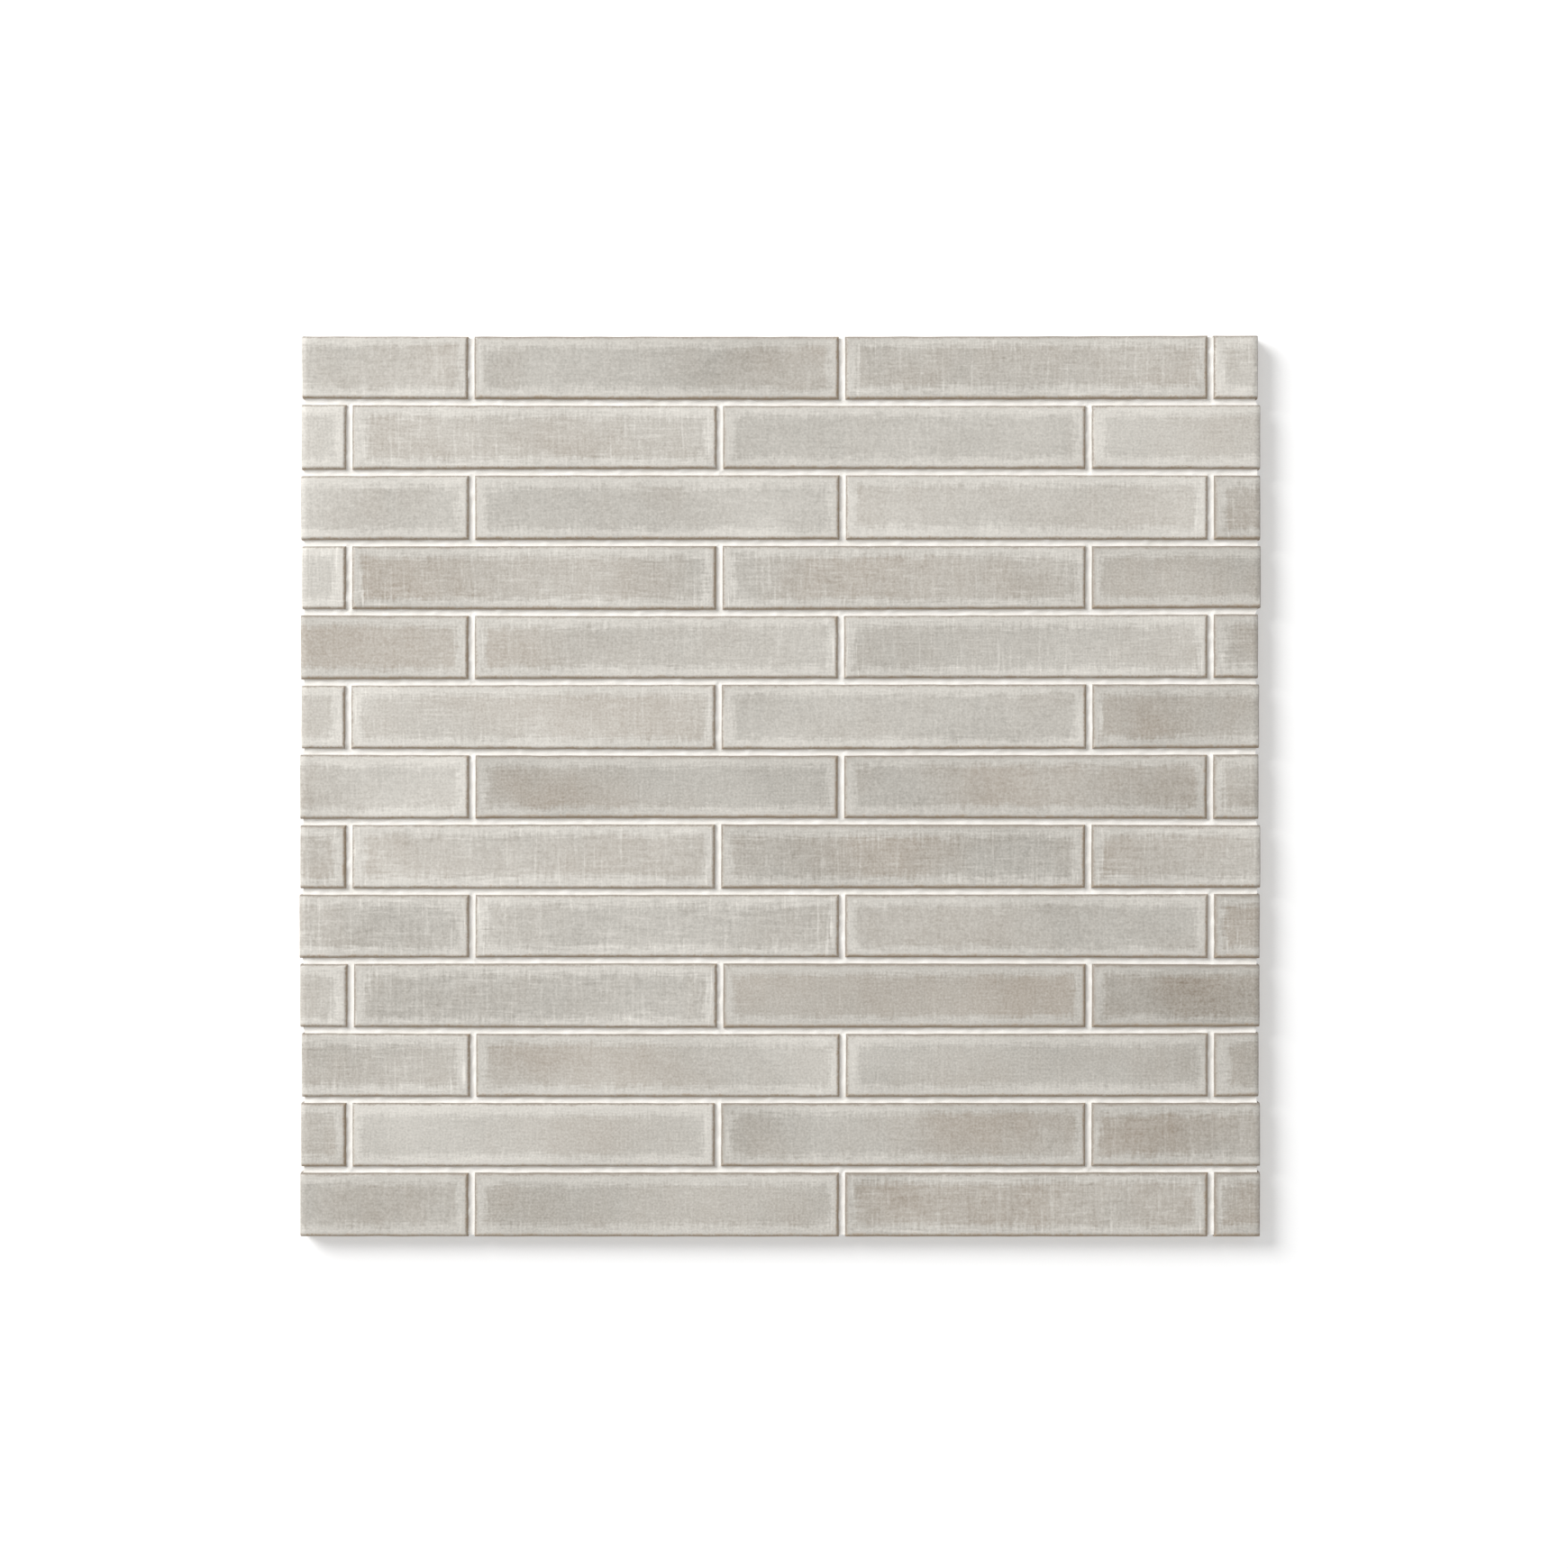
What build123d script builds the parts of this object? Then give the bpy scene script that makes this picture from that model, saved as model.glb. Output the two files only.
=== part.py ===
# Mosaic tile sheet: glazed ceramic sticks in a third bond, grouted, on a mesh of glass yarns.
# Lengths are in millimetres. The sheet lies on its mesh with the glazed faces up.
# X runs along the rows, row 1 is the one at +Y, and the origin is the middle of the sheet's
# underside.

import os

from build123d import *

os.makedirs("parts", exist_ok=True)

# Tile
tile_length = 114.4
tile_width = 20.0
tile_thickness = 7.5
cushion_radius = 1.2  # the rounding of the pressed upper edges
key_count = 3  # grooves along the back, for the adhesive to grip
key_pitch = 5.6
key_width = 3.2
key_depth = 0.6

# Bond
rows = 13
joint = 2.0
length_pitch = tile_length + joint
row_pitch = tile_width + joint
bond_step = length_pitch / 6  # from the middle of the sheet to the nearest joint of a row
sheet_length = 302.0  # from one sawn end to the other
sheet_width = rows * row_pitch - joint

# Where the tiles and the joints of a row are, in length pitches from its joint nearest the middle
tile_turns = {"left_cut": -1.5, "whole_1": -0.5, "whole_2": 0.5, "right_cut": 1.5}
joint_turns = (-1, 0, 1)

# Grout
tool_depth = 1.5  # from the glazed face to the bottom of the tooled channel
tool_radius = 2.0
end_setback = 0.8  # the grout stops short of the sawn ends
side_setback = 0.5  # and of the upper and lower edges of the sheet

# Backing mesh
yarn_width = 1.0
yarn_thickness = 0.25
yarn_pitch = 5.0
mesh_length = 297.0
mesh_width = 281.0

mesh_thickness = 2 * yarn_thickness
face_height = mesh_thickness + tile_thickness


def row_height(row):
    """Y of the middle of a row."""
    return ((rows + 1) / 2 - row) * row_pitch


def along_row(row, turns):
    """X of a place in a row. The bond steps to the right in odd rows and to the left in even rows."""
    side = 1 if row % 2 else -1
    return side * bond_step + turns * length_pitch


# One whole tile, with its middle over the origin and its back on the mesh
with BuildPart() as stick:
    with BuildSketch(Plane.XY.offset(mesh_thickness)):
        Rectangle(tile_length, tile_width)
    extrude(amount=tile_thickness)
    fillet(stick.faces().sort_by(Axis.Z)[-1].edges(), cushion_radius)
    with BuildSketch(Plane.XY.offset(mesh_thickness)):
        with GridLocations(0, key_pitch, 1, key_count):
            Rectangle(tile_length, key_width)
    extrude(amount=key_depth, mode=Mode.SUBTRACT)

# The tiles of each row: two whole ones between two that are sawn off at the ends of the sheet
left_saw = Plane.YZ.offset(-sheet_length / 2)
right_saw = Plane.YZ.offset(sheet_length / 2)
for row in range(1, rows + 1):
    for name, turns in tile_turns.items():
        with BuildPart() as tile:
            with Locations((along_row(row, turns), row_height(row))):
                add(stick.part)
            if name == "left_cut":
                split(bisect_by=left_saw, keep=Keep.TOP)
            if name == "right_cut":
                split(bisect_by=right_saw, keep=Keep.BOTTOM)
        tile.part.label = f"row{row:02d}_{name}"
        export_step(tile.part, f"parts/{tile.part.label}.step")

# The grout: one web that fills every joint, with its surface tooled hollow
tool_height = face_height - tool_depth + tool_radius
with BuildPart() as grout:
    with BuildSketch(Plane.XY.offset(mesh_thickness)):
        Rectangle(sheet_length - 2 * end_setback, sheet_width - 2 * side_setback)
        for row in range(1, rows + 1):
            with Locations(*[(along_row(row, turns), row_height(row)) for turns in tile_turns.values()]):
                Rectangle(tile_length, tile_width, mode=Mode.SUBTRACT)
    extrude(amount=tile_thickness - cushion_radius)
    with BuildSketch(Plane.YZ):
        with Locations((0, tool_height)):
            with GridLocations(row_pitch, 0, rows - 1, 1):
                Circle(tool_radius)
    extrude(amount=sheet_length / 2, both=True, mode=Mode.SUBTRACT)
    for row in range(1, rows + 1):
        with BuildSketch(Plane.XZ.offset(-row_height(row))):
            with Locations(*[(along_row(row, turns), tool_height) for turns in joint_turns]):
                Circle(tool_radius)
        extrude(amount=row_pitch / 2, both=True, mode=Mode.SUBTRACT)
grout.part.label = "grout"
export_step(grout.part, "parts/grout.step")

# The backing mesh: flat yarns along the rows, bonded onto flat yarns across them
cross_count = int(mesh_length // yarn_pitch) + 1
long_count = int(mesh_width // yarn_pitch) + 1
yarn_seat = (Align.CENTER, Align.CENTER, Align.MIN)
with BuildPart() as mesh_cross_yarns:
    with GridLocations(yarn_pitch, 0, cross_count, 1):
        Box(yarn_width, mesh_width, yarn_thickness, align=yarn_seat)
mesh_cross_yarns.part.label = "mesh_cross_yarns"
export_step(mesh_cross_yarns.part, "parts/mesh_cross_yarns.step")

with BuildPart() as mesh_long_yarns:
    with Locations((0, 0, yarn_thickness)):
        with GridLocations(0, yarn_pitch, 1, long_count):
            Box(mesh_length, yarn_width, yarn_thickness, align=yarn_seat)
mesh_long_yarns.part.label = "mesh_long_yarns"
export_step(mesh_long_yarns.part, "parts/mesh_long_yarns.step")
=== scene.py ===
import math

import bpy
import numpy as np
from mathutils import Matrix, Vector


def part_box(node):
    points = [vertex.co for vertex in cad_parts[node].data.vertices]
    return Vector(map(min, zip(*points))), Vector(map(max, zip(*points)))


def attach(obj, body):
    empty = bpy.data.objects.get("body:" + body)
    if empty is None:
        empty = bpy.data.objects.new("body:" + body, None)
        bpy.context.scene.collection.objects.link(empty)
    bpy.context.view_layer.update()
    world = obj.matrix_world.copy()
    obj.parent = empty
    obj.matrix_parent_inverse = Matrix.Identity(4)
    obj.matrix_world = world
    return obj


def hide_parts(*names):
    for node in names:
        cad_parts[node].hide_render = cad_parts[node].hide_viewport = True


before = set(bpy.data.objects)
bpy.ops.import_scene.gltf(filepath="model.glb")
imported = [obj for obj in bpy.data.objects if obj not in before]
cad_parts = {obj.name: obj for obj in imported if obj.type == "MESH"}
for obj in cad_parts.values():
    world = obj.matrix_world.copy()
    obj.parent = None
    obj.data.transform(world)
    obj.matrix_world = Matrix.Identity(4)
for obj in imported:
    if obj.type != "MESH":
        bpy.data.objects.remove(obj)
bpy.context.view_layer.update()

# Mosaic tile sheet: glazed stoneware sticks in a third bond, grouted, on a mesh of glass yarns.
# The sheet's sizes are millimetres until a mesh or a material takes them. The camera, the lamp and
# the floor are placed in Blender's metres.

MM = 0.001

# Sizes read from the frame
ROWS = 13
TILE_NAMES = ("left_cut", "whole_1", "whole_2", "right_cut")
tile_low, tile_high = (np.array(corner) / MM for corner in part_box("row01_whole_1"))
next_low = np.array(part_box("row01_whole_2")[0]) / MM
below_high = np.array(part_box("row02_whole_1")[1]) / MM
left_saw_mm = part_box("row01_left_cut")[0][0] / MM
right_saw_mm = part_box("row01_right_cut")[1][0] / MM
tile_length_mm = tile_high[0] - tile_low[0]
tile_width_mm = tile_high[1] - tile_low[1]
row_pitch_mm = tile_high[1] - below_high[1]
joint_mm = next_low[0] - tile_high[0]
face_mm = tile_high[2]
row_middle_mm = tile_high[1] - tile_width_mm / 2 - row_pitch_mm * np.arange(ROWS)
bed_joint_mm = (row_middle_mm[:-1] + row_middle_mm[1:]) / 2
row_edge_mm = row_middle_mm[0] + row_pitch_mm / 2 - row_pitch_mm * np.arange(ROWS + 1)
head_joint_mm = joint_mm / 2 + np.array([
    [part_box(f"row{row:02d}_{name}")[1][0] / MM for name in TILE_NAMES[:3]] for row in range(1, ROWS + 1)
])

# Shape of a tile
CUSHION_MM = 1.2  # the rounding of the pressed upper edges
CUSHION_LINES = 8
CHIP_MM = 0.4  # how far in, and about how deep, the saw chipped the glaze along a cut end
CHIP_WANDER_MM = 0.12
FACE_WAVE_MM = 0.04  # the long low waves of a face
FACE_RIPPLE_MM = 0.015  # and the short ones
FACE_DROP_MM = 0.06  # keeps their crests at the nominal height
TILE_LIFT_MM = 0.05  # how far a tile lies above or below its neighbours
KEYS = 3  # grooves along the back, for the adhesive to grip
KEY_PITCH_MM = 5.6
KEY_WIDTH_MM = 3.2
KEY_DEPTH_MM = 0.6
KEY_DRAFT_MM = 0.25
TILE_GRID_MM = 1.6
WALL_RINGS = 4

# Shape of the joints
BED_TOOL_MM = 1.4  # how deep the grout lies along the tiles, in the bed joints
HEAD_TOOL_MM = 1.15  # and in the head joints
TOOL_SAG_MM = 0.27  # how much deeper it lies in the middle of a joint
GROUT_LAP_MM = 0.3  # how far it goes in under a tile's edge
GROUT_CREEP_MM = 0.35  # how far it climbs the tiles in places
GROUT_SAND_MM = 0.03
GROUT_WAVE_MM = 0.05
GROUT_GRID_MM = 1.1

# Backing mesh
YARN_PITCH_MM = 5.0
YARN_WIDTH_MM = 1.0
YARN_WIDTH_SHARE = 0.92  # how much of its width in the solids a yarn fills on average
YARN_HEIGHT_SHARE = 0.98  # and of its height
YARN_DRIFT_MM = 0.10  # how far its middle line wanders slowly
YARN_SHAKE_MM = 0.06  # and quickly
YARN_SWELL = 0.1  # how much its width swells and shrinks, as a share
YARN_SINES_MM = (23, 7, 5)  # the lengths over which these three turn by one radian
YARN_SIDES = 8
FIBRE_WIDTH_MM = 0.12
FIBRE_LENGTH_MM = 6

# The prints: the share of linen in soft clouds, in a haze and in brushed linen, and the odds that
# a tile has each
LINEN_OF_PRINT = (0.0, 0.5, 1.0)
PRINT_ODDS = (0.5, 0.1, 0.4)

# How deep the glaze is and how warm its grey: the middle value, how much it varies from tile to
# tile, and how much along one. The sheet deepens a little to the right and towards the front, and
# a deep glaze is mostly a warm one.
DEPTH_MIDDLE, DEPTH_VARIES, DEPTH_RUN = 0.42, 0.15, 0.1
WARMTH_MIDDLE, WARMTH_VARIES, WARMTH_RUN = 0.42, 0.2, 0.55
DEPTH_TREND = 0.2
WARMTH_BY_DEPTH = 0.6
RUN_LENGTH_MM = 80

# The sheet was laid by hand. Its top edge, each bed joint and its bottom edge wander up or down by
# up to the first amount at the left end, the middle and the right end. Each row wanders left or
# right by up to the second at its left sawn end, its three head joints and its right sawn end.
# Where each one lies within that is chance.
BED_WANDER_MM = 0.35
ROW_WANDER_MM = 0.45
hand_chance = np.random.default_rng(15)
bed_wander_mm = hand_chance.uniform(-BED_WANDER_MM, BED_WANDER_MM, (ROWS + 1, 3))
row_wander_mm = hand_chance.uniform(-ROW_WANDER_MM, ROW_WANDER_MM, (ROWS, 5))

# Small waves on top of those, everywhere on the sheet
HAND_WAVE_MM = 0.06

# How unevenly the print sits on the tiles, at its left and right ends and its lower and upper sides
PRINT_MISFIT_MM = (0.6, 0.4, 0.2, 0.2)

# Each tile's marks are cut from the same noise at another height in this range
NOISE_RANGE_MM = 500

# One run of chance for the shapes, one for how the print sits and one for how the glaze lies
chance = np.random.default_rng(13)
print_chance = np.random.default_rng(14)
glaze_chance = np.random.default_rng(16)


def linear(hex_colour):
    """sRGB hex to the linear colour that Blender's sockets take."""
    srgb = np.array([int(hex_colour[i:i + 2], 16) for i in (1, 3, 5)]) / 255
    line = np.where(srgb <= 0.04045, srgb / 12.92, ((srgb + 0.055) / 1.055) ** 2.4)
    return (*line, 1.0)


def waves(x, y, length, seed):
    """A smooth uneven field from about -1 to 1: the sum of six sines, each running its own way
    with its own phase, with wavelengths around the given length. The sum grows with the root of
    their number, and its peaks are about half as high again."""
    sines, peak = 6, 1.5
    draw = np.random.default_rng(seed)
    field = np.zeros(np.broadcast(x, y).shape)
    for _ in range(sines):
        angle, phase = draw.uniform(0, 2 * math.pi, 2)
        turn = 2 * math.pi / (length * draw.uniform(0.7, 1.4))
        field += np.sin(turn * (x * math.cos(angle) + y * math.sin(angle)) + phase)
    return field / sines ** 0.5 / peak


def laid(x, y):
    """Where a point of the nominal sheet lies on the one laid by hand. Y drops by the wander of
    the bed joints, each a parabola along the row, shared out in straight line between them.
    X moves by the wander of the row's ends and head joints, straight between them, and goes over
    from row to row inside the bed joint. Small waves are added to both."""
    across = 2 * (x - left_saw_mm) / (right_saw_mm - left_saw_mm) - 1
    drop = HAND_WAVE_MM * waves(x, y, length=11, seed=2)
    slide = HAND_WAVE_MM * waves(x, y, length=14, seed=1)
    for edge_y, (left, middle, right) in zip(row_edge_mm, bed_wander_mm):
        curve = middle + (right - left) / 2 * across + ((left + right) / 2 - middle) * across ** 2
        drop += curve * np.clip(1 - np.abs(y - edge_y) / row_pitch_mm, 0, 1)
    for row_y, joints, wander in zip(row_middle_mm, head_joint_mm, row_wander_mm):
        moved = np.interp(x, (left_saw_mm, *joints, right_saw_mm), wander)
        outside = np.abs(y - row_y) - tile_width_mm / 2
        slide += moved * np.clip(1 - outside / joint_mm, 0, 1)
    return x + slide, y - drop


def quads_of_grid(nx, ny):
    """The faces between the points of a grid, anticlockwise seen from above."""
    number = np.arange(nx * ny).reshape(nx, ny)
    corners = (number[:-1, :-1], number[1:, :-1], number[1:, 1:], number[:-1, 1:])
    return np.stack(corners, axis=-1).reshape(-1, 4)


def loop_of_grid(nx, ny):
    """The outer points of a grid in order, anticlockwise seen from above, and the side that each
    stretch to the next point is on: 0 front, 1 right, 2 back, 3 left."""
    number = np.arange(nx * ny).reshape(nx, ny)
    loop = np.concatenate((number[:-1, 0], number[-1, :-1], number[:0:-1, -1], number[0, :0:-1]))
    return loop, np.repeat((0, 1, 2, 3), (nx - 1, ny - 1, nx - 1, ny - 1))


def new_mesh(name, points_mm, quads, material_of_face, materials, crease_degrees):
    """Makes a mesh object at the origin from points in millimetres and faces of four corners. It
    is shaded smooth but for edges that turn by more than the crease."""
    mesh = bpy.data.meshes.new(name)
    mesh.vertices.add(len(points_mm))
    mesh.vertices.foreach_set("co", (points_mm * MM).astype(np.float32).ravel())
    mesh.loops.add(quads.size)
    mesh.loops.foreach_set("vertex_index", quads.astype(np.int32).ravel())
    mesh.polygons.add(len(quads))
    mesh.polygons.foreach_set("loop_start", np.arange(0, quads.size, 4, dtype=np.int32))
    mesh.polygons.foreach_set("material_index", material_of_face.astype(np.int32))
    mesh.update(calc_edges=True)
    mesh.validate()
    mesh.shade_smooth()
    mesh.set_sharp_from_angle(angle=math.radians(crease_degrees))
    for material in materials:
        mesh.materials.append(material)
    piece = bpy.data.objects.new(name, mesh)
    bpy.context.scene.collection.objects.link(piece)
    return piece


def finish_piece(piece, node):
    """The piece stands for its CAD node and rides on the sheet's one body."""
    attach(piece, "root")
    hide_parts(node)


def add_node(tree, kind, inputs=None, **settings):
    """Adds one shader node. Inputs are given by name or number, each as a value, as an output of
    another node, or as a node, whose first output it then is. Settings are the node's own. By
    number, a map range takes its value, where that starts and ends, and what it gives there, and
    a mix of colours takes its share at 0 and its two colours at 6 and 7."""
    made = tree.nodes.new("ShaderNode" + kind)
    for key, value in settings.items():
        setattr(made, key, value)
    for key, value in (inputs or {}).items():
        if isinstance(value, bpy.types.Node):
            value = value.outputs[0]
        if isinstance(value, bpy.types.NodeSocket):
            tree.links.new(value, made.inputs[key])
        else:
            made.inputs[key].default_value = value
    return made


def new_material(name, roughness):
    """A material with one Principled shader, its node tree and the shader."""
    material = bpy.data.materials.new(name)
    material.use_nodes = True
    shader = material.node_tree.nodes["Principled BSDF"]
    shader.inputs["Roughness"].default_value = roughness
    shader.inputs["IOR"].default_value = 1.5
    return material, material.node_tree, shader


# The marks in the glaze: how long each is along and across the tile in millimetres, then what it
# adds to the pigment on a cloud tile and on a linen tile. Real threads are 0.3 mm, and these are
# drawn as coarse as shows.
GLAZE_MARKS = {
    "grain": (0.7, 0.7, 0.39, 0.37),
    "blot": (4.0, 4.0, 0.02, 0.02),
    "drift": (50.0, 35.0, 0.36, 0.36),
    "patch": (7.0, 13.0, 0.02, 0.02),
    "upright thread": (0.8, 6.0, 0.11, 0.20),
    "lying thread": (7.0, 0.7, 0.13, 0.20),
}

# Strokes where the brush dragged the wet print: as above, but a few stand out, the pale ones with
# less pigment and the dark ones with more. The upright ones grow stronger close to the ends.
GLAZE_STROKES = {
    "upright": (1.0, 15.0, -0.21, -0.51),
    "lying": (11.0, 1.0, -0.15, -0.47),
    "dark": (6.0, 0.9, 0.20, 0.28),
}
STROKES_START, STROKES_FULL = 0.3, 1.1  # the stretch of the noise that shows as strokes
END_STROKES_MM = 8.0
END_STROKES_GAIN = 2.5

# The print: how far inside its margin it starts and where it is full, its pigment, and how far
# each mark moves that margin, so that its last threads fray
PRINT_STARTS_MM, PRINT_FULL_MM = 2.1, 4.8
PRINT_PIGMENT = 0.58
FRAY_MM = {"upright thread": 0.8, "lying thread": 0.8, "patch": 0.5}
WARM_PATCHES = 0.2

# The brown line: how far from the edge it is strongest and where it ends, how strong it is, how
# much further in it goes where the glaze is deep, and how far each mark moves it
BROWN_STARTS_MM, BROWN_ENDS_MM = -0.15, 1.1
BROWN_SHARE = 0.85
BROWN_BY_DEPTH_MM = 0.5
HAIRS_MM = {"grain": 0.4, "blot": 0.2, "upright thread": 0.1, "lying thread": 0.1}

# The glaze stops about this high up the tiles' sides, more or less by the run
GLAZE_FOOT_MM, GLAZE_EDGE_MM = 1.4, 0.5
GLAZE_RUN_MM, GLAZE_RUN_LENGTH_MM = 2.4, 6
GLAZED_ROUGHNESS, BARE_ROUGHNESS = 0.45, 0.85
GLAZE_RELIEF_MM = 0.03


def reactive_glaze():
    """Reactive glaze over a printed stoneware tile, fired once. It flows off the edges, so a pale
    band runs round each face, and it breaks to brown where it thins over the cushion. The middle
    is cool or warm grey, in soft clouds or in a brushed linen print. Satin, with a soft gleam."""
    material, tree, shader = new_material("reactive_glaze", GLAZED_ROUGHNESS)
    place = add_node(tree, "Attribute", attribute_name="print_place").outputs["Vector"]
    margin = add_node(tree, "Attribute", attribute_name="margin").outputs["Fac"]
    rim = add_node(tree, "Attribute", attribute_name="rim").outputs["Fac"]
    painted_shade_side = add_node(tree, "Attribute", attribute_name="painted_shade_side").outputs["Fac"]
    recipe = add_node(tree, "Attribute", attribute_name="recipe").outputs["Vector"]
    warmth, depth, linen = add_node(tree, "SeparateXYZ", {0: recipe}).outputs

    # Every mark as noise, which keeps between about 0.25 and 0.75, spread out from -1 to 1. Only
    # the crests of it are strokes.
    mark = {}
    for name, (along, across, *_) in {**GLAZE_MARKS, **GLAZE_STROKES}.items():
        spread = add_node(tree, "Mapping", {"Vector": place, "Scale": (1 / along, 1 / across, 1)})
        spread = add_node(tree, "TexNoise", {"Vector": spread, "Scale": 1, "Detail": 2})
        mark[name] = add_node(tree, "MapRange", {0: spread, 1: 0.25, 2: 0.75, 3: -1, 4: 1}, clamp=False)
    for name in GLAZE_STROKES:
        mark[name] = add_node(tree, "MapRange", {0: mark[name], 1: STROKES_START, 2: STROKES_FULL})
    half_mm = tile_length_mm / 2
    from_middle = add_node(tree, "SeparateXYZ", {0: place}).outputs[0]
    from_middle = add_node(tree, "Math", {0: from_middle, 1: half_mm}, operation="SUBTRACT")
    from_middle = add_node(tree, "Math", {0: from_middle}, operation="ABSOLUTE")
    ends = {0: from_middle, 1: half_mm - END_STROKES_MM, 2: half_mm, 3: 1, 4: END_STROKES_GAIN}
    near_end = add_node(tree, "MapRange", ends)
    mark["upright"] = add_node(tree, "Math", {0: mark["upright"], 1: near_end}, operation="MULTIPLY")

    # The marks laid over each other, each as strong as the tile's print makes it
    pattern = 0
    for name, (_, _, on_cloud, on_linen) in {**GLAZE_MARKS, **GLAZE_STROKES}.items():
        strength = add_node(tree, "MapRange", {0: linen, 3: on_cloud, 4: on_linen})
        pattern = add_node(tree, "Math", {0: mark[name], 1: strength, 2: pattern}, operation="MULTIPLY_ADD")

    # The print stops 2 to 5 mm short of the edges, where its last threads fray
    fray = margin
    for name, reach in FRAY_MM.items():
        fray = add_node(tree, "Math", {0: mark[name], 1: reach, 2: fray}, operation="MULTIPLY_ADD")
    printed = add_node(
        tree, "MapRange", {0: fray, 1: PRINT_STARTS_MM, 2: PRINT_FULL_MM}, interpolation_type="SMOOTHSTEP"
    )
    pigment = add_node(
        tree, "Math", {0: printed, 1: PRINT_PIGMENT, 2: pattern}, operation="MULTIPLY_ADD"
    )
    pigment = add_node(tree, "Math", {0: pigment, 1: depth}, operation="ADD")

    # Warm and cool go over into each other in patches, and the band stays cool
    warm = warmth
    for name in ("drift", "patch"):
        warm = add_node(tree, "Math", {0: mark[name], 1: WARM_PATCHES, 2: warm}, operation="MULTIPLY_ADD")
    warm.use_clamp = True
    warm = add_node(tree, "Math", {0: warm, 1: printed}, operation="MULTIPLY")
    middle = add_node(
        tree, "Mix", {0: warm, 6: linear("#BEBAB2"), 7: linear("#BFB8AE")}, data_type="RGBA"
    ).outputs[2]
    face = add_node(
        tree, "Mix", {0: pigment, 6: linear("#DDD9D1"), 7: middle}, data_type="RGBA", clamp_factor=False
    ).outputs[2]

    # Brown where the glaze is thin on the cushion, further in where it is deep, in a hairy line.
    # It is a warmer brown on the lower and right sides, away from the lamp: painted shade.
    thin = add_node(tree, "Math", {0: depth, 1: -BROWN_BY_DEPTH_MM, 2: rim}, operation="MULTIPLY_ADD")
    for name, reach in HAIRS_MM.items():
        thin = add_node(tree, "Math", {0: mark[name], 1: reach, 2: thin}, operation="MULTIPLY_ADD")
    line = {0: thin, 1: BROWN_STARTS_MM, 2: BROWN_ENDS_MM, 3: BROWN_SHARE, 4: 0}
    thin = add_node(tree, "MapRange", line, interpolation_type="SMOOTHSTEP")
    brown = add_node(
        tree, "Mix", {0: painted_shade_side, 6: linear("#8F8478"), 7: linear("#9C8569")}, data_type="RGBA"
    ).outputs[2]
    glazed = add_node(tree, "Mix", {0: thin, 6: face, 7: brown}, data_type="RGBA").outputs[2]

    # The glaze stops in an uneven line on the tile's sides, and below it the body is bare
    ground = add_node(tree, "TexCoord").outputs["Object"]
    run_scale = 1 / (GLAZE_RUN_LENGTH_MM * MM)
    run = add_node(tree, "TexNoise", {"Vector": ground, "Scale": run_scale, "Detail": 2})
    height = add_node(tree, "SeparateXYZ", {0: ground}).outputs[2]
    run = add_node(tree, "Math", {0: run, 1: -GLAZE_RUN_MM * MM, 2: height}, operation="MULTIPLY_ADD")
    foot, top = GLAZE_FOOT_MM * MM, (GLAZE_FOOT_MM + GLAZE_EDGE_MM) * MM
    bare = add_node(tree, "MapRange", {0: run, 1: foot, 2: top, 3: 1, 4: 0})
    colour = add_node(tree, "Mix", {0: bare, 6: glazed, 7: linear("#CBBBA3")}, data_type="RGBA")
    tree.links.new(colour.outputs[2], shader.inputs["Base Color"])
    roughness = add_node(tree, "MapRange", {0: bare, 3: GLAZED_ROUGHNESS, 4: BARE_ROUGHNESS})
    tree.links.new(roughness.outputs[0], shader.inputs["Roughness"])

    relief = add_node(tree, "Bump", {"Height": pattern, "Distance": GLAZE_RELIEF_MM * MM, "Strength": 1})
    tree.links.new(relief.outputs[0], shader.inputs["Normal"])
    return material


def biscuit():
    """Pressed stoneware biscuit, bare on the back and where the tile was sawn: a dull sandy buff
    with fine dark grog. A thin pale line of glaze shows along the top of a sawn end."""
    grog_mm = 0.5
    material, tree, shader = new_material("stoneware_biscuit", 0.88)
    place = add_node(tree, "TexCoord").outputs["Object"]
    grog = add_node(tree, "TexNoise", {"Vector": place, "Scale": 1 / (grog_mm * MM), "Detail": 2})
    grog = add_node(tree, "MapRange", {0: grog, 1: 0.35, 2: 0.65})
    body = add_node(tree, "Mix", {0: grog, 6: linear("#BBA88F"), 7: linear("#D6C8B2")}, data_type="RGBA")
    height = add_node(tree, "SeparateXYZ", {0: place}).outputs[2]
    skin_foot, skin_full = (face_mm - 0.7) * MM, (face_mm - 0.55) * MM
    skin = add_node(tree, "MapRange", {0: height, 1: skin_foot, 2: skin_full})
    colour = add_node(tree, "Mix", {0: skin, 6: body.outputs[2], 7: linear("#D2CCC1")}, data_type="RGBA")
    tree.links.new(colour.outputs[2], shader.inputs["Base Color"])
    relief = add_node(tree, "Bump", {"Height": grog, "Distance": 0.06 * MM, "Strength": 1})
    tree.links.new(relief.outputs[0], shader.inputs["Normal"])
    return material


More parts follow.
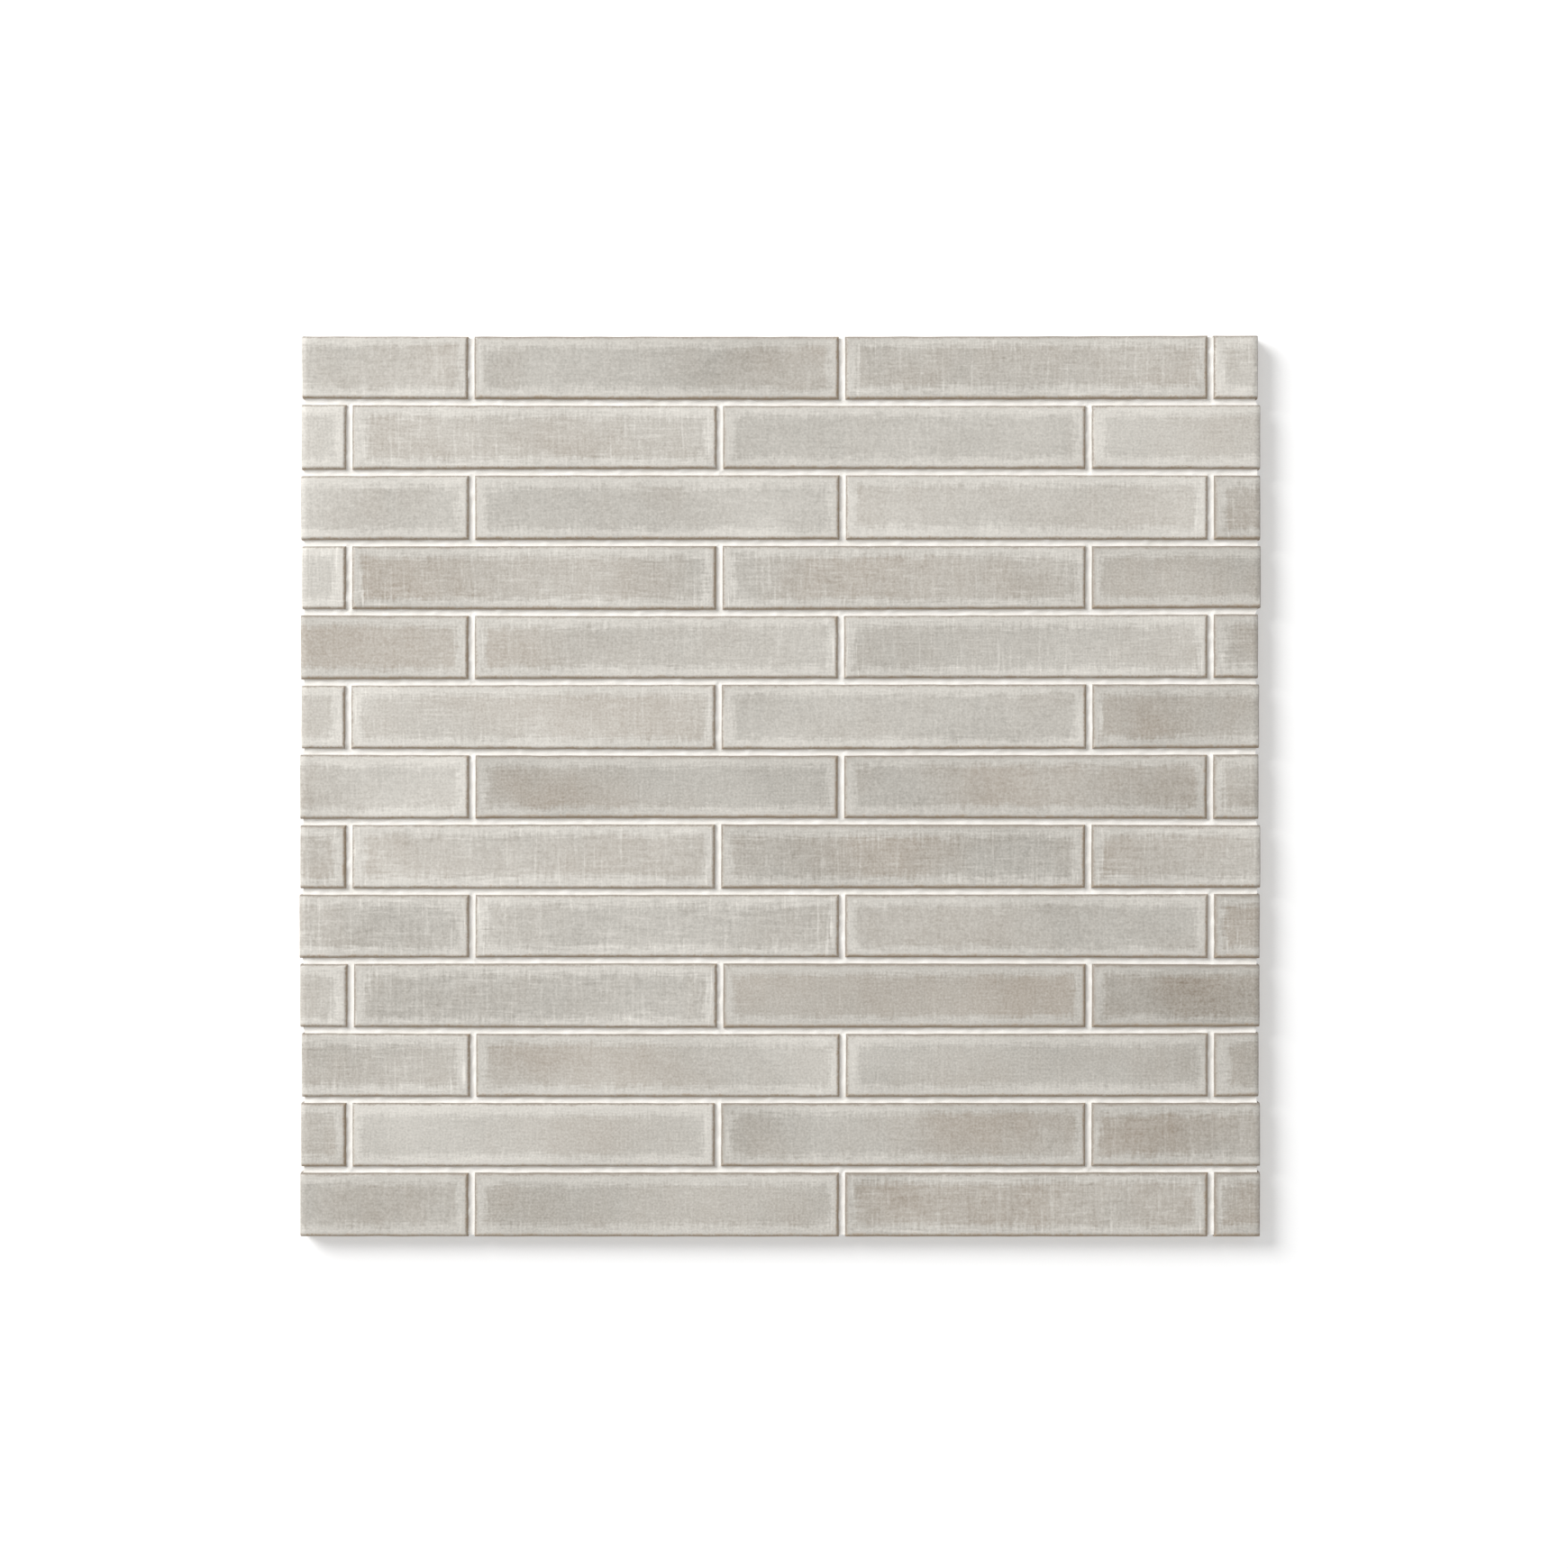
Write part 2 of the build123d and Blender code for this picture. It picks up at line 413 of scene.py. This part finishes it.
def cement_grout():
    """Sanded cement grout, tooled and sponged: off-white and matt, with grains of sand of 0.3 mm
    and slow changes of tone where the sponge left it wetter."""
    sand_mm, sponge_mm = 0.3, 9
    material, tree, shader = new_material("cement_grout", 0.92)
    place = add_node(tree, "TexCoord").outputs["Object"]
    sand = add_node(tree, "TexNoise", {"Vector": place, "Scale": 1 / (sand_mm * MM), "Detail": 2})
    sponge = add_node(tree, "TexNoise", {"Vector": place, "Scale": 1 / (sponge_mm * MM), "Detail": 2})
    tone = add_node(tree, "Math", {0: sand, 1: sponge}, operation="ADD")
    tone = add_node(tree, "MapRange", {0: tone, 1: 0.7, 2: 1.3})
    colour = add_node(tree, "Mix", {0: tone, 6: linear("#F1EEE7"), 7: linear("#FDFBF7")}, data_type="RGBA")
    tree.links.new(colour.outputs[2], shader.inputs["Base Color"])
    relief = add_node(tree, "Bump", {"Height": sand, "Distance": 0.05 * MM, "Strength": 1})
    tree.links.new(relief.outputs[0], shader.inputs["Normal"])
    return material


def coated_yarn(name, along_x):
    """Glass yarn in a clear acrylic coating: near white, with fine fibres along it and a dull
    plastic gleam. The fibres are drawn 0.12 mm wide, which is coarser than real glass fibres."""
    material, tree, shader = new_material(name, 0.5)
    place = add_node(tree, "TexCoord").outputs["Object"]
    fibre_mm = [FIBRE_WIDTH_MM] * 3
    fibre_mm[0 if along_x else 1] = FIBRE_LENGTH_MM
    scale = [1 / (size * MM) for size in fibre_mm]
    fibre = add_node(tree, "Mapping", {"Vector": place, "Scale": scale})
    fibre = add_node(tree, "TexNoise", {"Vector": fibre, "Scale": 1, "Detail": 2})
    fibre = add_node(tree, "MapRange", {0: fibre, 1: 0.3, 2: 0.7})
    colour = add_node(tree, "Mix", {0: fibre, 6: linear("#CFD3D0"), 7: linear("#F1F2EE")}, data_type="RGBA")
    tree.links.new(colour.outputs[2], shader.inputs["Base Color"])
    relief = add_node(tree, "Bump", {"Height": fibre, "Distance": 0.04 * MM, "Strength": 1})
    tree.links.new(relief.outputs[0], shader.inputs["Normal"])
    return material


def tile_lines(low, high, sawn_low, sawn_high, extra=()):
    """Grid lines from low to high. Over a rounded edge they stand at equal turns of the cushion's
    quarter circle, over a sawn one on the chip, and in between about one grid step apart. Of
    lines that nearly meet, the first stays."""
    nearly_mm = 0.02
    roll = CUSHION_MM * (1 - np.sin(np.radians(np.linspace(90, 0, CUSHION_LINES))))
    chip = np.array((0, CHIP_MM / 2, CHIP_MM))
    first = low + (chip if sawn_low else roll)
    last = high - (chip if sawn_high else roll)
    count = max(2, round((last[-1] - first[-1]) / TILE_GRID_MM) + 1)
    lines = np.concatenate((first, np.linspace(first[-1], last[-1], count), last, extra))
    lines = np.unique(np.round(lines, 4))
    return lines[np.concatenate(([True], np.diff(lines) > nearly_mm))]


def tile_surfaces(low, high, sawn_left, sawn_right, lift, seed):
    """The face and the back of a tile as heights over its plan, the plan itself, and how far each
    point is from a real edge. The cushion's drop is that of a quarter circle at the distance to
    the nearest real edge, so the rolls of two sides meet in a mitre. The face between them has
    low uneven waves, and a sawn end's arris is a straight slope of uneven depth. The back is flat
    but for the keying grooves, which are cut to their depth through a short draft."""
    half_key = KEY_WIDTH_MM / 2
    keys = (low[1] + high[1]) / 2 + KEY_PITCH_MM * (np.arange(KEYS) - (KEYS - 1) / 2)
    draft = np.array((-half_key, KEY_DRAFT_MM - half_key, half_key - KEY_DRAFT_MM, half_key))
    xs = tile_lines(low[0], high[0], sawn_left, sawn_right)
    ys = tile_lines(low[1], high[1], False, False, (keys[:, None] + draft).ravel())
    x, y = np.meshgrid(xs, ys, indexing="ij")
    from_ends = np.stack((x - low[0], high[0] - x))
    sawn = np.array((sawn_left, sawn_right))[:, None, None]
    rim = np.minimum(y - low[1], high[1] - y)
    rim = np.minimum(rim, np.where(sawn, np.inf, from_ends).min(axis=0))
    into_cushion = np.clip(1 - rim / CUSHION_MM, 0, 1)
    drop = CUSHION_MM * (1 - np.sqrt(1 - into_cushion ** 2))
    from_saw = np.where(sawn, from_ends, np.inf).min(axis=0)
    chip_depth = CHIP_MM + CHIP_WANDER_MM * waves(x, y, length=3, seed=seed + 2)
    chip = np.clip(1 - from_saw / CHIP_MM, 0, 1) * chip_depth
    long_waves = FACE_WAVE_MM * waves(x, y, length=30, seed=seed)
    ripples = FACE_RIPPLE_MM * waves(x, y, length=7, seed=seed + 1)
    rise = long_waves + ripples + lift - FACE_DROP_MM
    face = high[2] - drop - chip + rise * (1 - into_cushion)
    into_key = (half_key - np.abs(y[..., None] - keys).min(axis=-1)) / KEY_DRAFT_MM
    back = low[2] + KEY_DEPTH_MM * np.clip(into_key, 0, 1)
    return face, back, x, y, rim


def glaze_on_tile(x, y, seed):
    """How the glaze lies on one tile: its warmth and depth at the points of its plan, and its
    share of linen. The tile's own warmth and depth are chance, with the trend across the sheet,
    and slow waves along the tile are added to them."""
    linen = glaze_chance.choice(LINEN_OF_PRINT, p=PRINT_ODDS)
    trend = DEPTH_TREND * (x.mean() / right_saw_mm - y.mean() / row_edge_mm[0])
    deeper = trend + glaze_chance.normal(0, DEPTH_VARIES)
    warmer = WARMTH_BY_DEPTH * deeper + glaze_chance.normal(0, WARMTH_VARIES)
    warm_run = WARMTH_RUN * waves(x, y, length=RUN_LENGTH_MM, seed=seed + 3)
    depth_run = DEPTH_RUN * waves(x, y, length=RUN_LENGTH_MM, seed=seed + 4)
    warmth = np.clip(WARMTH_MIDDLE + warmer + warm_run, 0, 1)
    return warmth, DEPTH_MIDDLE + deeper + depth_run, np.full(len(x), linen)


def close_tile(face_points, back_points, nx, ny):
    """Closes a tile between its face and its back, two grids of points over the same plan. Its
    walls join the outlines of the two through evenly spaced rings. Gives the points, the faces
    in the order face, back, walls, the side that each wall face is on, the point of the plan
    that each point stands over, and how far down the wall it is, as a share."""
    loop, side = loop_of_grid(nx, ny)
    count, around = len(face_points), len(loop)
    shares = np.arange(1, WALL_RINGS + 1) / (WALL_RINGS + 1)
    down_ring = shares[:, None, None]
    rings = face_points[loop] * (1 - down_ring) + back_points[loop] * down_ring
    points = np.concatenate((face_points, back_points, rings.reshape(-1, 3)))
    levels = 2 * count + np.arange(WALL_RINGS * around).reshape(WALL_RINGS, around)
    levels = np.concatenate((loop[None], levels, count + loop[None]))
    upper, lower = levels[:-1], levels[1:]
    walls = np.stack((np.roll(upper, -1, axis=1), upper, lower, np.roll(lower, -1, axis=1)), axis=-1)
    quads = quads_of_grid(nx, ny)
    quads = np.concatenate((quads, quads[:, ::-1] + count, walls.reshape(-1, 4)))
    over = np.concatenate((np.arange(count), np.arange(count), np.tile(loop, WALL_RINGS)))
    down = np.concatenate((np.zeros(2 * count), np.repeat(shares, around)))
    return points, quads, np.tile(side, WALL_RINGS + 1), over, down


def give_values(piece, given):
    """Stores values on the points of a piece, each under the name by which its material reads it."""
    for name, values in given.items():
        kind, field = ("FLOAT_VECTOR", "vector") if values.ndim == 2 else ("FLOAT", "value")
        layer = piece.data.attributes.new(name, kind, "POINT")
        layer.data.foreach_set(field, values.astype(np.float32).ravel())


def make_tile(row, name, materials):
    """One tile, and on its points what the glaze reads: the place on the print and how far inside
    its margin that is, the distance from a real edge, less than nothing down a wall, whether
    that is the lower or the right one, away from the lamp, where the brown is painted shade, and
    the warmth, depth and print."""
    node = f"row{row:02d}_{name}"
    low, high = (np.array(corner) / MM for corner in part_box(node))
    sawn_left, sawn_right = name == "left_cut", name == "right_cut"
    seed = int(chance.integers(1, 10 ** 6))
    lift = chance.uniform(-TILE_LIFT_MM, TILE_LIFT_MM)
    face, back, x, y, rim = tile_surfaces(low, high, sawn_left, sawn_right, lift, seed)
    plan = np.stack(laid(x, y), axis=-1).reshape(-1, 2)
    face_points = np.column_stack((plan, face.ravel()))
    back_points = np.column_stack((plan, back.ravel()))
    points, quads, side, over, down = close_tile(face_points, back_points, *x.shape)
    sawn = (side == 1) & sawn_right | (side == 3) & sawn_left
    flat = (len(quads) - len(side)) // 2
    bare = np.concatenate((np.zeros(flat), np.ones(flat), sawn))
    piece = new_mesh("tile_" + node, points, quads, bare, materials, crease_degrees=50)

    x, y, rim = x.ravel(), y.ravel(), rim.ravel()
    warmth, depth, linen = glaze_on_tile(x, y, seed)
    whole_low = high[0] - tile_length_mm if sawn_left else low[0]
    print_x, print_y = x - whole_low, y - low[1]
    to_sides = np.stack((print_x, tile_length_mm - print_x, print_y, tile_width_mm - print_y))
    misfit = print_chance.normal(0, PRINT_MISFIT_MM)
    # The lower and right sides face away from the lamp, and the warmer brown there is painted shade
    to_painted_shade_sides = np.minimum(print_y, tile_length_mm - print_x)
    print_z = points[:, 2] + chance.uniform(0, NOISE_RANGE_MM)
    give_values(piece, {
        "print_place": np.stack((print_x[over], print_y[over], print_z), axis=-1),
        "recipe": np.stack((warmth, depth, linen), axis=-1)[over],
        "margin": (to_sides - misfit[:, None]).min(axis=0)[over],
        "rim": rim[over] - down * (high[2] - low[2]),
        "painted_shade_side": np.clip(1 + rim - to_painted_shade_sides, 0, 1)[over],
    })
    finish_piece(piece, node)


def make_tiles():
    """All the tiles of the sheet, each with its own recipe of glaze."""
    materials = (reactive_glaze(), biscuit())
    for row in range(1, ROWS + 1):
        for name in TILE_NAMES:
            make_tile(row, name, materials)


def into_joints(x, y):
    """How far points lie inside the bed joints and inside the head joints. Outside a joint it is
    minus the distance to it."""
    row = np.clip(np.round((row_middle_mm[0] - y) / row_pitch_mm), 0, ROWS - 1).astype(int)
    into_bed = joint_mm / 2 - np.abs(y[..., None] - bed_joint_mm).min(axis=-1)
    into_head = joint_mm / 2 - np.abs(x[..., None] - head_joint_mm[row]).min(axis=-1)
    return into_bed, into_head


def joint_lines(low, high, joints):
    """Grid lines from low to high, about one grid step apart, and close together at each joint."""
    reach = joint_mm / 2 + GROUT_LAP_MM
    close = joint_mm / 2 * np.array((-1, -0.6, -0.2, 0.2, 0.6, 1))
    close = np.concatenate(((-reach,), close, (reach,)))
    even = np.linspace(low, high, round((high - low) / GROUT_GRID_MM) + 1)
    clear = np.abs(even[:, None] - joints).min(axis=1) > reach + GROUT_LAP_MM
    return np.unique(np.concatenate((even[clear], (joints[:, None] + close).ravel())))


def make_grout():
    """The grout as one web. One set of X and Y lines crosses the whole sheet, and a cell is kept
    where it lies in a joint or laps under a tile's edge. The surface drops from the tiles' edges
    in a parabola of the distance to the nearest tile. Here and there it creeps up the tiles, and
    sand roughens it. The underside is flat, and walls close the sides."""
    low, high = (np.array(corner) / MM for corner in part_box("grout"))
    heads = np.unique(np.round(head_joint_mm[:2], 3))
    x, y = np.meshgrid(
        joint_lines(low[0], high[0], heads), joint_lines(low[1], high[1], bed_joint_mm), indexing="ij"
    )
    half = joint_mm / 2
    into_bed, into_head = into_joints(x, y)
    into = np.clip(np.maximum(into_bed, into_head) / half, 0, 1)
    edge = HEAD_TOOL_MM + (BED_TOOL_MM - HEAD_TOOL_MM) * np.clip(1 + into_bed / half, 0, 1)
    sag = TOOL_SAG_MM * (1 - (1 - into) ** 2)
    creep = GROUT_CREEP_MM * np.clip(waves(x, y, length=4, seed=6), 0, 1)
    sand = chance.normal(0, GROUT_SAND_MM, x.shape) + GROUT_WAVE_MM * waves(x, y, length=5, seed=5)
    top = face_mm - edge - sag + creep + sand
    plan = np.stack(laid(x, y), axis=-1).reshape(-1, 2)
    points = np.concatenate((
        np.column_stack((plan, top.ravel())),
        np.column_stack((plan, np.full(x.size, low[2]))),
    ))

    # The cells that are kept, and a wall on each side that only one of them has
    cell_x, cell_y = (x[:-1, :-1] + x[1:, 1:]) / 2, (y[:-1, :-1] + y[1:, 1:]) / 2
    kept = (np.maximum(*into_joints(cell_x, cell_y)) > -GROUT_LAP_MM).ravel()
    upper = quads_of_grid(*x.shape)[kept]
    sides = np.concatenate([upper[:, [turn, (turn + 1) % 4]] for turn in range(4)])
    _, first, uses = np.unique(np.sort(sides, axis=1), axis=0, return_index=True, return_counts=True)
    start, end = sides[first[uses == 1]].T
    walls = np.stack((end, start, start + x.size, end + x.size), axis=-1)
    quads = np.concatenate((upper, upper[:, ::-1] + x.size, walls))
    used, quads = np.unique(quads, return_inverse=True)
    quads = quads.reshape(-1, 4)
    one_material = np.zeros(len(quads))
    piece = new_mesh("grout_web", points[used], quads, one_material, (cement_grout(),), crease_degrees=50)
    finish_piece(piece, "grout")


def make_yarns(name, node, along_x, seed):
    """One layer of the backing mesh, as flat closed tubes from side to side. Each yarn's middle
    line wanders sideways by a slow and a quick sine along it, and its width swells and shrinks
    by another. Its section is an oval of eight sides, and three faces close each end."""
    low, high = (np.array(corner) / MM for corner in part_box(node))
    axis, other = (0, 1) if along_x else (1, 0)
    first, last = low[other] + YARN_WIDTH_MM / 2, high[other] - YARN_WIDTH_MM / 2
    yarns = round((last - first) / YARN_PITCH_MM) + 1
    at = np.linspace(first, last, yarns)[:, None, None]
    steps = round((high[axis] - low[axis]) / YARN_PITCH_MM) + 1
    run = np.linspace(low[axis], high[axis], steps)[None, :, None]
    phase = np.random.default_rng(seed).uniform(0, 2 * math.pi, (3, yarns, 1, 1))
    turn = 2 * math.pi * (np.arange(YARN_SIDES) + 0.5) / YARN_SIDES
    slow, quick, swell = (np.sin(run / length + shift) for length, shift in zip(YARN_SINES_MM, phase))
    wander = YARN_DRIFT_MM * slow + YARN_SHAKE_MM * quick
    half_width = YARN_WIDTH_SHARE / 2 * YARN_WIDTH_MM * (1 + YARN_SWELL * swell)
    aside = at + wander + half_width * np.cos(turn)
    half_height = (high[2] - low[2]) / 2
    height = low[2] + half_height * (1 + YARN_HEIGHT_SHARE * np.sin(turn))
    run, height = np.broadcast_to(run, aside.shape), np.broadcast_to(height, aside.shape)
    points = np.stack((run, aside, height) if along_x else (aside, run, height), axis=-1)

    number = np.arange(aside.size).reshape(aside.shape)
    near, far = number[:, :-1], number[:, 1:]
    skin = np.stack((near, np.roll(near, -1, axis=2), np.roll(far, -1, axis=2), far), axis=-1)
    ladder = np.array(((7, 0, 1, 2), (7, 2, 3, 6), (6, 3, 4, 5)))
    ends = np.concatenate((number[:, 0][:, ladder[:, ::-1]], number[:, -1][:, ladder]))
    quads = np.concatenate((skin.reshape(-1, 4), ends.reshape(-1, 4)))
    if not along_x:
        quads = quads[:, ::-1]
    material = coated_yarn("coated_glass_" + name, along_x)
    one_material = np.zeros(len(quads))
    piece = new_mesh(name, points.reshape(-1, 3), quads, one_material, (material,), crease_degrees=60)
    finish_piece(piece, node)


def make_camera():
    """Straight down on the sheet from a metre above its face, with the photo's own scale there:
    the row pitch covers 77.5 of its 1740 pixels."""
    photo_pixels = 1740
    row_pitch_pixels = 77.5
    sheet_middle_pixels = (865.7, 872.6)
    height = 1.0
    pixel = row_pitch_mm * MM / row_pitch_pixels
    camera_data = bpy.data.cameras.new("camera")
    camera_data.angle = 2 * math.atan(photo_pixels * pixel / 2 / height)
    camera = bpy.data.objects.new("camera", camera_data)
    camera.location = (
        (photo_pixels / 2 - sheet_middle_pixels[0]) * pixel,
        (sheet_middle_pixels[1] - photo_pixels / 2) * pixel,
        height + face_mm * MM,
    )
    bpy.context.scene.collection.objects.link(camera)
    bpy.context.scene.camera = camera


def make_light():
    """One soft lamp from the upper left, 36.5 degrees above the sheet, and an even pale sky. At
    the sheet's middle the lamp lights white to its share of white, and the sky to about the
    rest."""
    lamp_share, sky_share = 0.56, 0.46
    distance, height_angle = 3.5, math.radians(36.5)
    lamp_data = bpy.data.lights.new("softbox", "AREA")
    lamp_data.shape = "DISK"
    lamp_data.size = 1.9
    lamp_data.energy = lamp_share * (math.pi * distance) ** 2 / math.sin(height_angle)
    level = math.cos(height_angle)
    towards = Vector((-0.8 * level, 0.6 * level, math.sin(height_angle)))
    lamp = bpy.data.objects.new("softbox", lamp_data)
    lamp.location = towards * distance
    lamp.rotation_euler = (-towards).to_track_quat("-Z", "Y").to_euler()
    bpy.context.scene.collection.objects.link(lamp)

    world = bpy.data.worlds.new("sky")
    world.use_nodes = True
    tree = world.node_tree
    tree.nodes.clear()
    path = add_node(tree, "LightPath").outputs
    seen = path["Is Camera Ray"]
    for ray in ("Is Glossy Ray", "Is Transmission Ray"):
        seen = add_node(tree, "Math", {0: seen, 1: path[ray]}, operation="MAXIMUM")
    strength = add_node(tree, "MapRange", {0: seen, 3: sky_share, 4: 1})
    sky = add_node(tree, "Background", {"Color": (1, 1, 1, 1), "Strength": strength})
    add_node(tree, "OutputWorld", {"Surface": sky})
    bpy.context.scene.world = world
    bpy.context.scene.view_settings.view_transform = "Standard"


def make_floor():
    """A white floor. To the camera it glows a little, so that it shows as plain white where the
    lamp reaches it and still darkens in the sheet's shadow. Further off, where the lamp grows
    weaker, it glows more, and the white goes on to the horizon."""
    half_size, gap = 6.0, 0.0001
    near, far = 0.25, 1.2
    near_glow, far_glow = 0.29, 0.8
    mesh = bpy.data.meshes.new("floor")
    corners = [(x * half_size, y * half_size, -gap) for x, y in ((-1, -1), (1, -1), (1, 1), (-1, 1))]
    mesh.from_pydata(corners, [], [(0, 1, 2, 3)])
    material = bpy.data.materials.new("studio_floor")
    material.use_nodes = True
    tree = material.node_tree
    tree.nodes.clear()
    matt = add_node(tree, "BsdfDiffuse", {"Color": (0.82, 0.82, 0.82, 1)})
    place = add_node(tree, "TexCoord").outputs["Object"]
    away = add_node(tree, "VectorMath", {0: place}, operation="LENGTH").outputs["Value"]
    glow = add_node(tree, "MapRange", {0: away, 1: near, 2: far, 3: near_glow, 4: far_glow})
    seen = add_node(tree, "LightPath").outputs["Is Camera Ray"]
    glow = add_node(tree, "Math", {0: glow, 1: seen}, operation="MULTIPLY")
    glow = add_node(tree, "Emission", {"Strength": glow})
    both = add_node(tree, "AddShader", {0: matt, 1: glow})
    add_node(tree, "OutputMaterial", {"Surface": both})
    mesh.materials.append(material)
    floor = bpy.data.objects.new("floor", mesh)
    bpy.context.scene.collection.objects.link(floor)


make_camera()
make_light()
make_floor()
make_tiles()
make_grout()
make_yarns("yarns_across", "mesh_cross_yarns", along_x=False, seed=21)
make_yarns("yarns_along", "mesh_long_yarns", along_x=True, seed=22)
